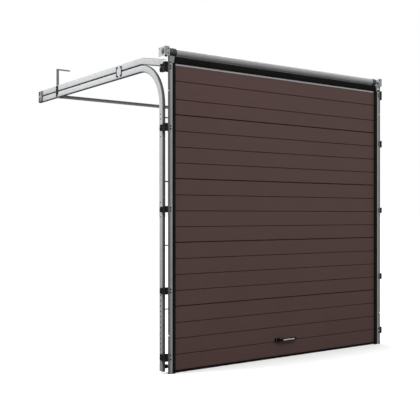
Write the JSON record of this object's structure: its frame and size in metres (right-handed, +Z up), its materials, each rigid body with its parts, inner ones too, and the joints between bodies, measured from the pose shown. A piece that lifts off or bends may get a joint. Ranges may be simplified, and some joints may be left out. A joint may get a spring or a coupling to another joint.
{
  "type": "sectional garage door",
  "caption": "Closed sectional garage door with ribbed brown sections, side posts, curved double tracks, ceiling hangers and a torsion spring shaft above the leaf.",
  "frame": {"origin": "on the wall face of the left post as seen from outside, above its wall holes' column, at the floor", "axes": "+X to the right along the wall seen from outside, +Y into the garage, +Z up"},
  "size_m": [2.47, 2.4815, 2.677],
  "materials": {
    "leaf": "satin, dark brown",
    "aluminium": "mill finish",
    "rubber": "matt black",
    "galvanised": "zinc coated",
    "black_steel": "black",
    "zinc": "zinc plated",
    "spring": "spring wire",
    "drum": "cast",
    "nylon": "moulded",
    "handle": "satin"
  },
  "bodies": {
    "frame": {"left_post": "galvanised", "right_post": "galvanised", "left_side_seal": "rubber", "right_side_seal": "rubber", "lintel_rail": "galvanised", "lintel_seal": "rubber", "left_vertical_track": "galvanised", "right_vertical_track": "galvanised", "track_bends": "galvanised", "left_horizontal_track": "galvanised", "right_horizontal_track": "galvanised", "left_upper_track": "galvanised", "right_upper_track": "galvanised", "left_track_brackets": "black_steel", "right_track_brackets": "black_steel", "splice_plates": "galvanised", "end_plates": "galvanised", "track_hangers": "galvanised", "spreader_bar": "galvanised", "bearing_brackets": "galvanised", "lifting_cables": "zinc"},
    "leaf": {"section_1": "leaf", "section_2": "leaf", "section_3": "leaf", "section_4": "leaf", "bottom_seal": "rubber", "end_stiles": "galvanised", "left_side_hinges": "zinc", "right_side_hinges": "zinc", "centre_hinges": "zinc", "bottom_brackets": "zinc", "leaf_rollers": "nylon", "handle": "handle"},
    "top_section": {"top_section": "leaf", "top_cap": "aluminium", "top_end_stiles": "galvanised", "top_hinge_leaves": "zinc", "top_roller_carriers": "zinc", "top_rollers": "nylon"},
    "shaft": {"spring_shaft": "zinc", "cable_drums": "drum", "torsion_spring": "spring"}
  },
  "joints": [
    {"name": "leaf_lift", "type": "slide", "parent": "frame", "child": "leaf", "axis": [0, 0, 1], "range_m": [0, 0.1], "deforming": ["lifting_cables"]},
    {"name": "top_section_tilt", "type": "hinge", "parent": "leaf", "child": "top_section", "pos_m": [0, 0.062, 2.02], "axis": [-1, 0, 0], "range_deg": [0, 27]},
    {"name": "shaft_turn", "type": "hinge", "parent": "frame", "child": "shaft", "pos_m": [0, 0.038, 2.509], "axis": [1, 0, 0], "range_deg": [0, 267]}
  ],
  "couplings": [
    {"joint": "top_section_tilt", "follows": "leaf_lift", "rad_per_m": 4.64},
    {"joint": "shaft_turn", "follows": "leaf_lift", "rad_per_m": 46.512}
  ]
}
